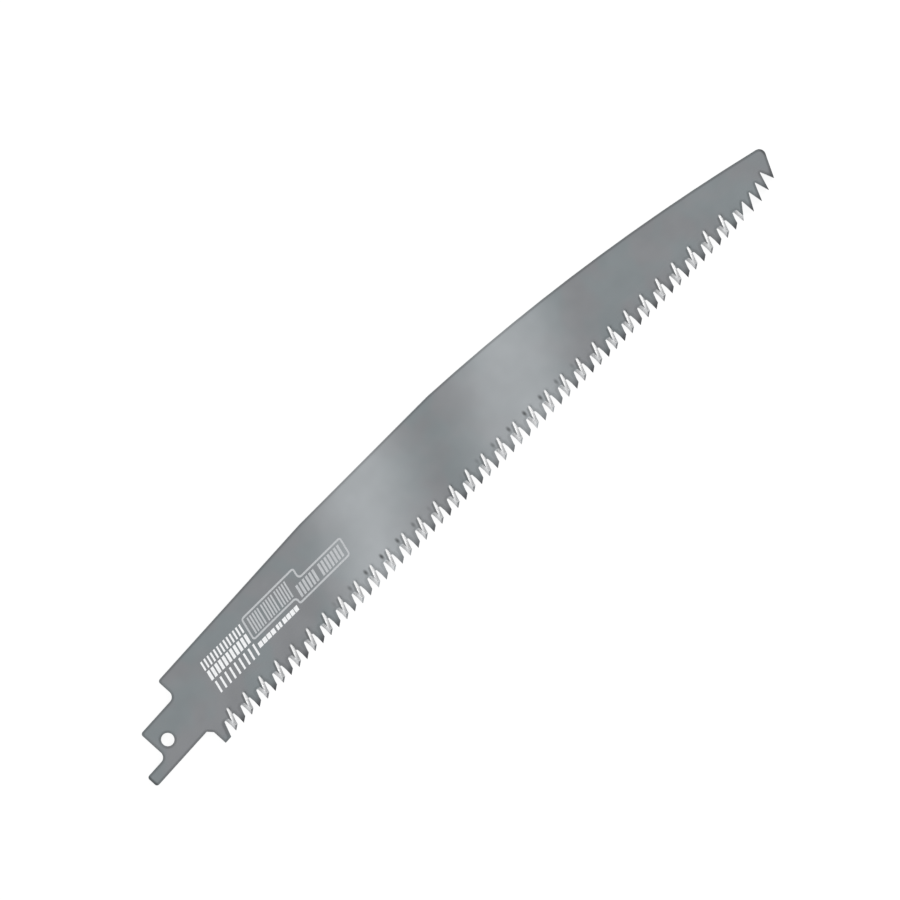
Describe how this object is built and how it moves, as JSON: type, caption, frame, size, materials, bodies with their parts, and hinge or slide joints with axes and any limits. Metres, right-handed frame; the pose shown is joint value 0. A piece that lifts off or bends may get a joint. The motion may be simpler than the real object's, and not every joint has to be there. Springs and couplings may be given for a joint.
{
  "type": "reciprocating saw blade",
  "caption": "Tapered flat steel saw blade with a drilled tang shank and alternately bevelled, set pull teeth for a reciprocating saw.",
  "frame": {"origin": "on the axis of the shank hole, at mid thickness of the plate", "axes": "+X along the shank towards the nose, +Y towards the back edge, +Z out of the side on which the bevels of the first tooth show; the blade lies flat, so the teeth point to -Y"},
  "size_m": [0.2346, 0.0341, 0.0012],
  "materials": {
    "steel": "satin rolled strip, brighter on the ground bevels, darkened at the hardened tooth tips"
  },
  "bodies": {
    "root": {"blade": "steel"}
  },
  "joints": []
}
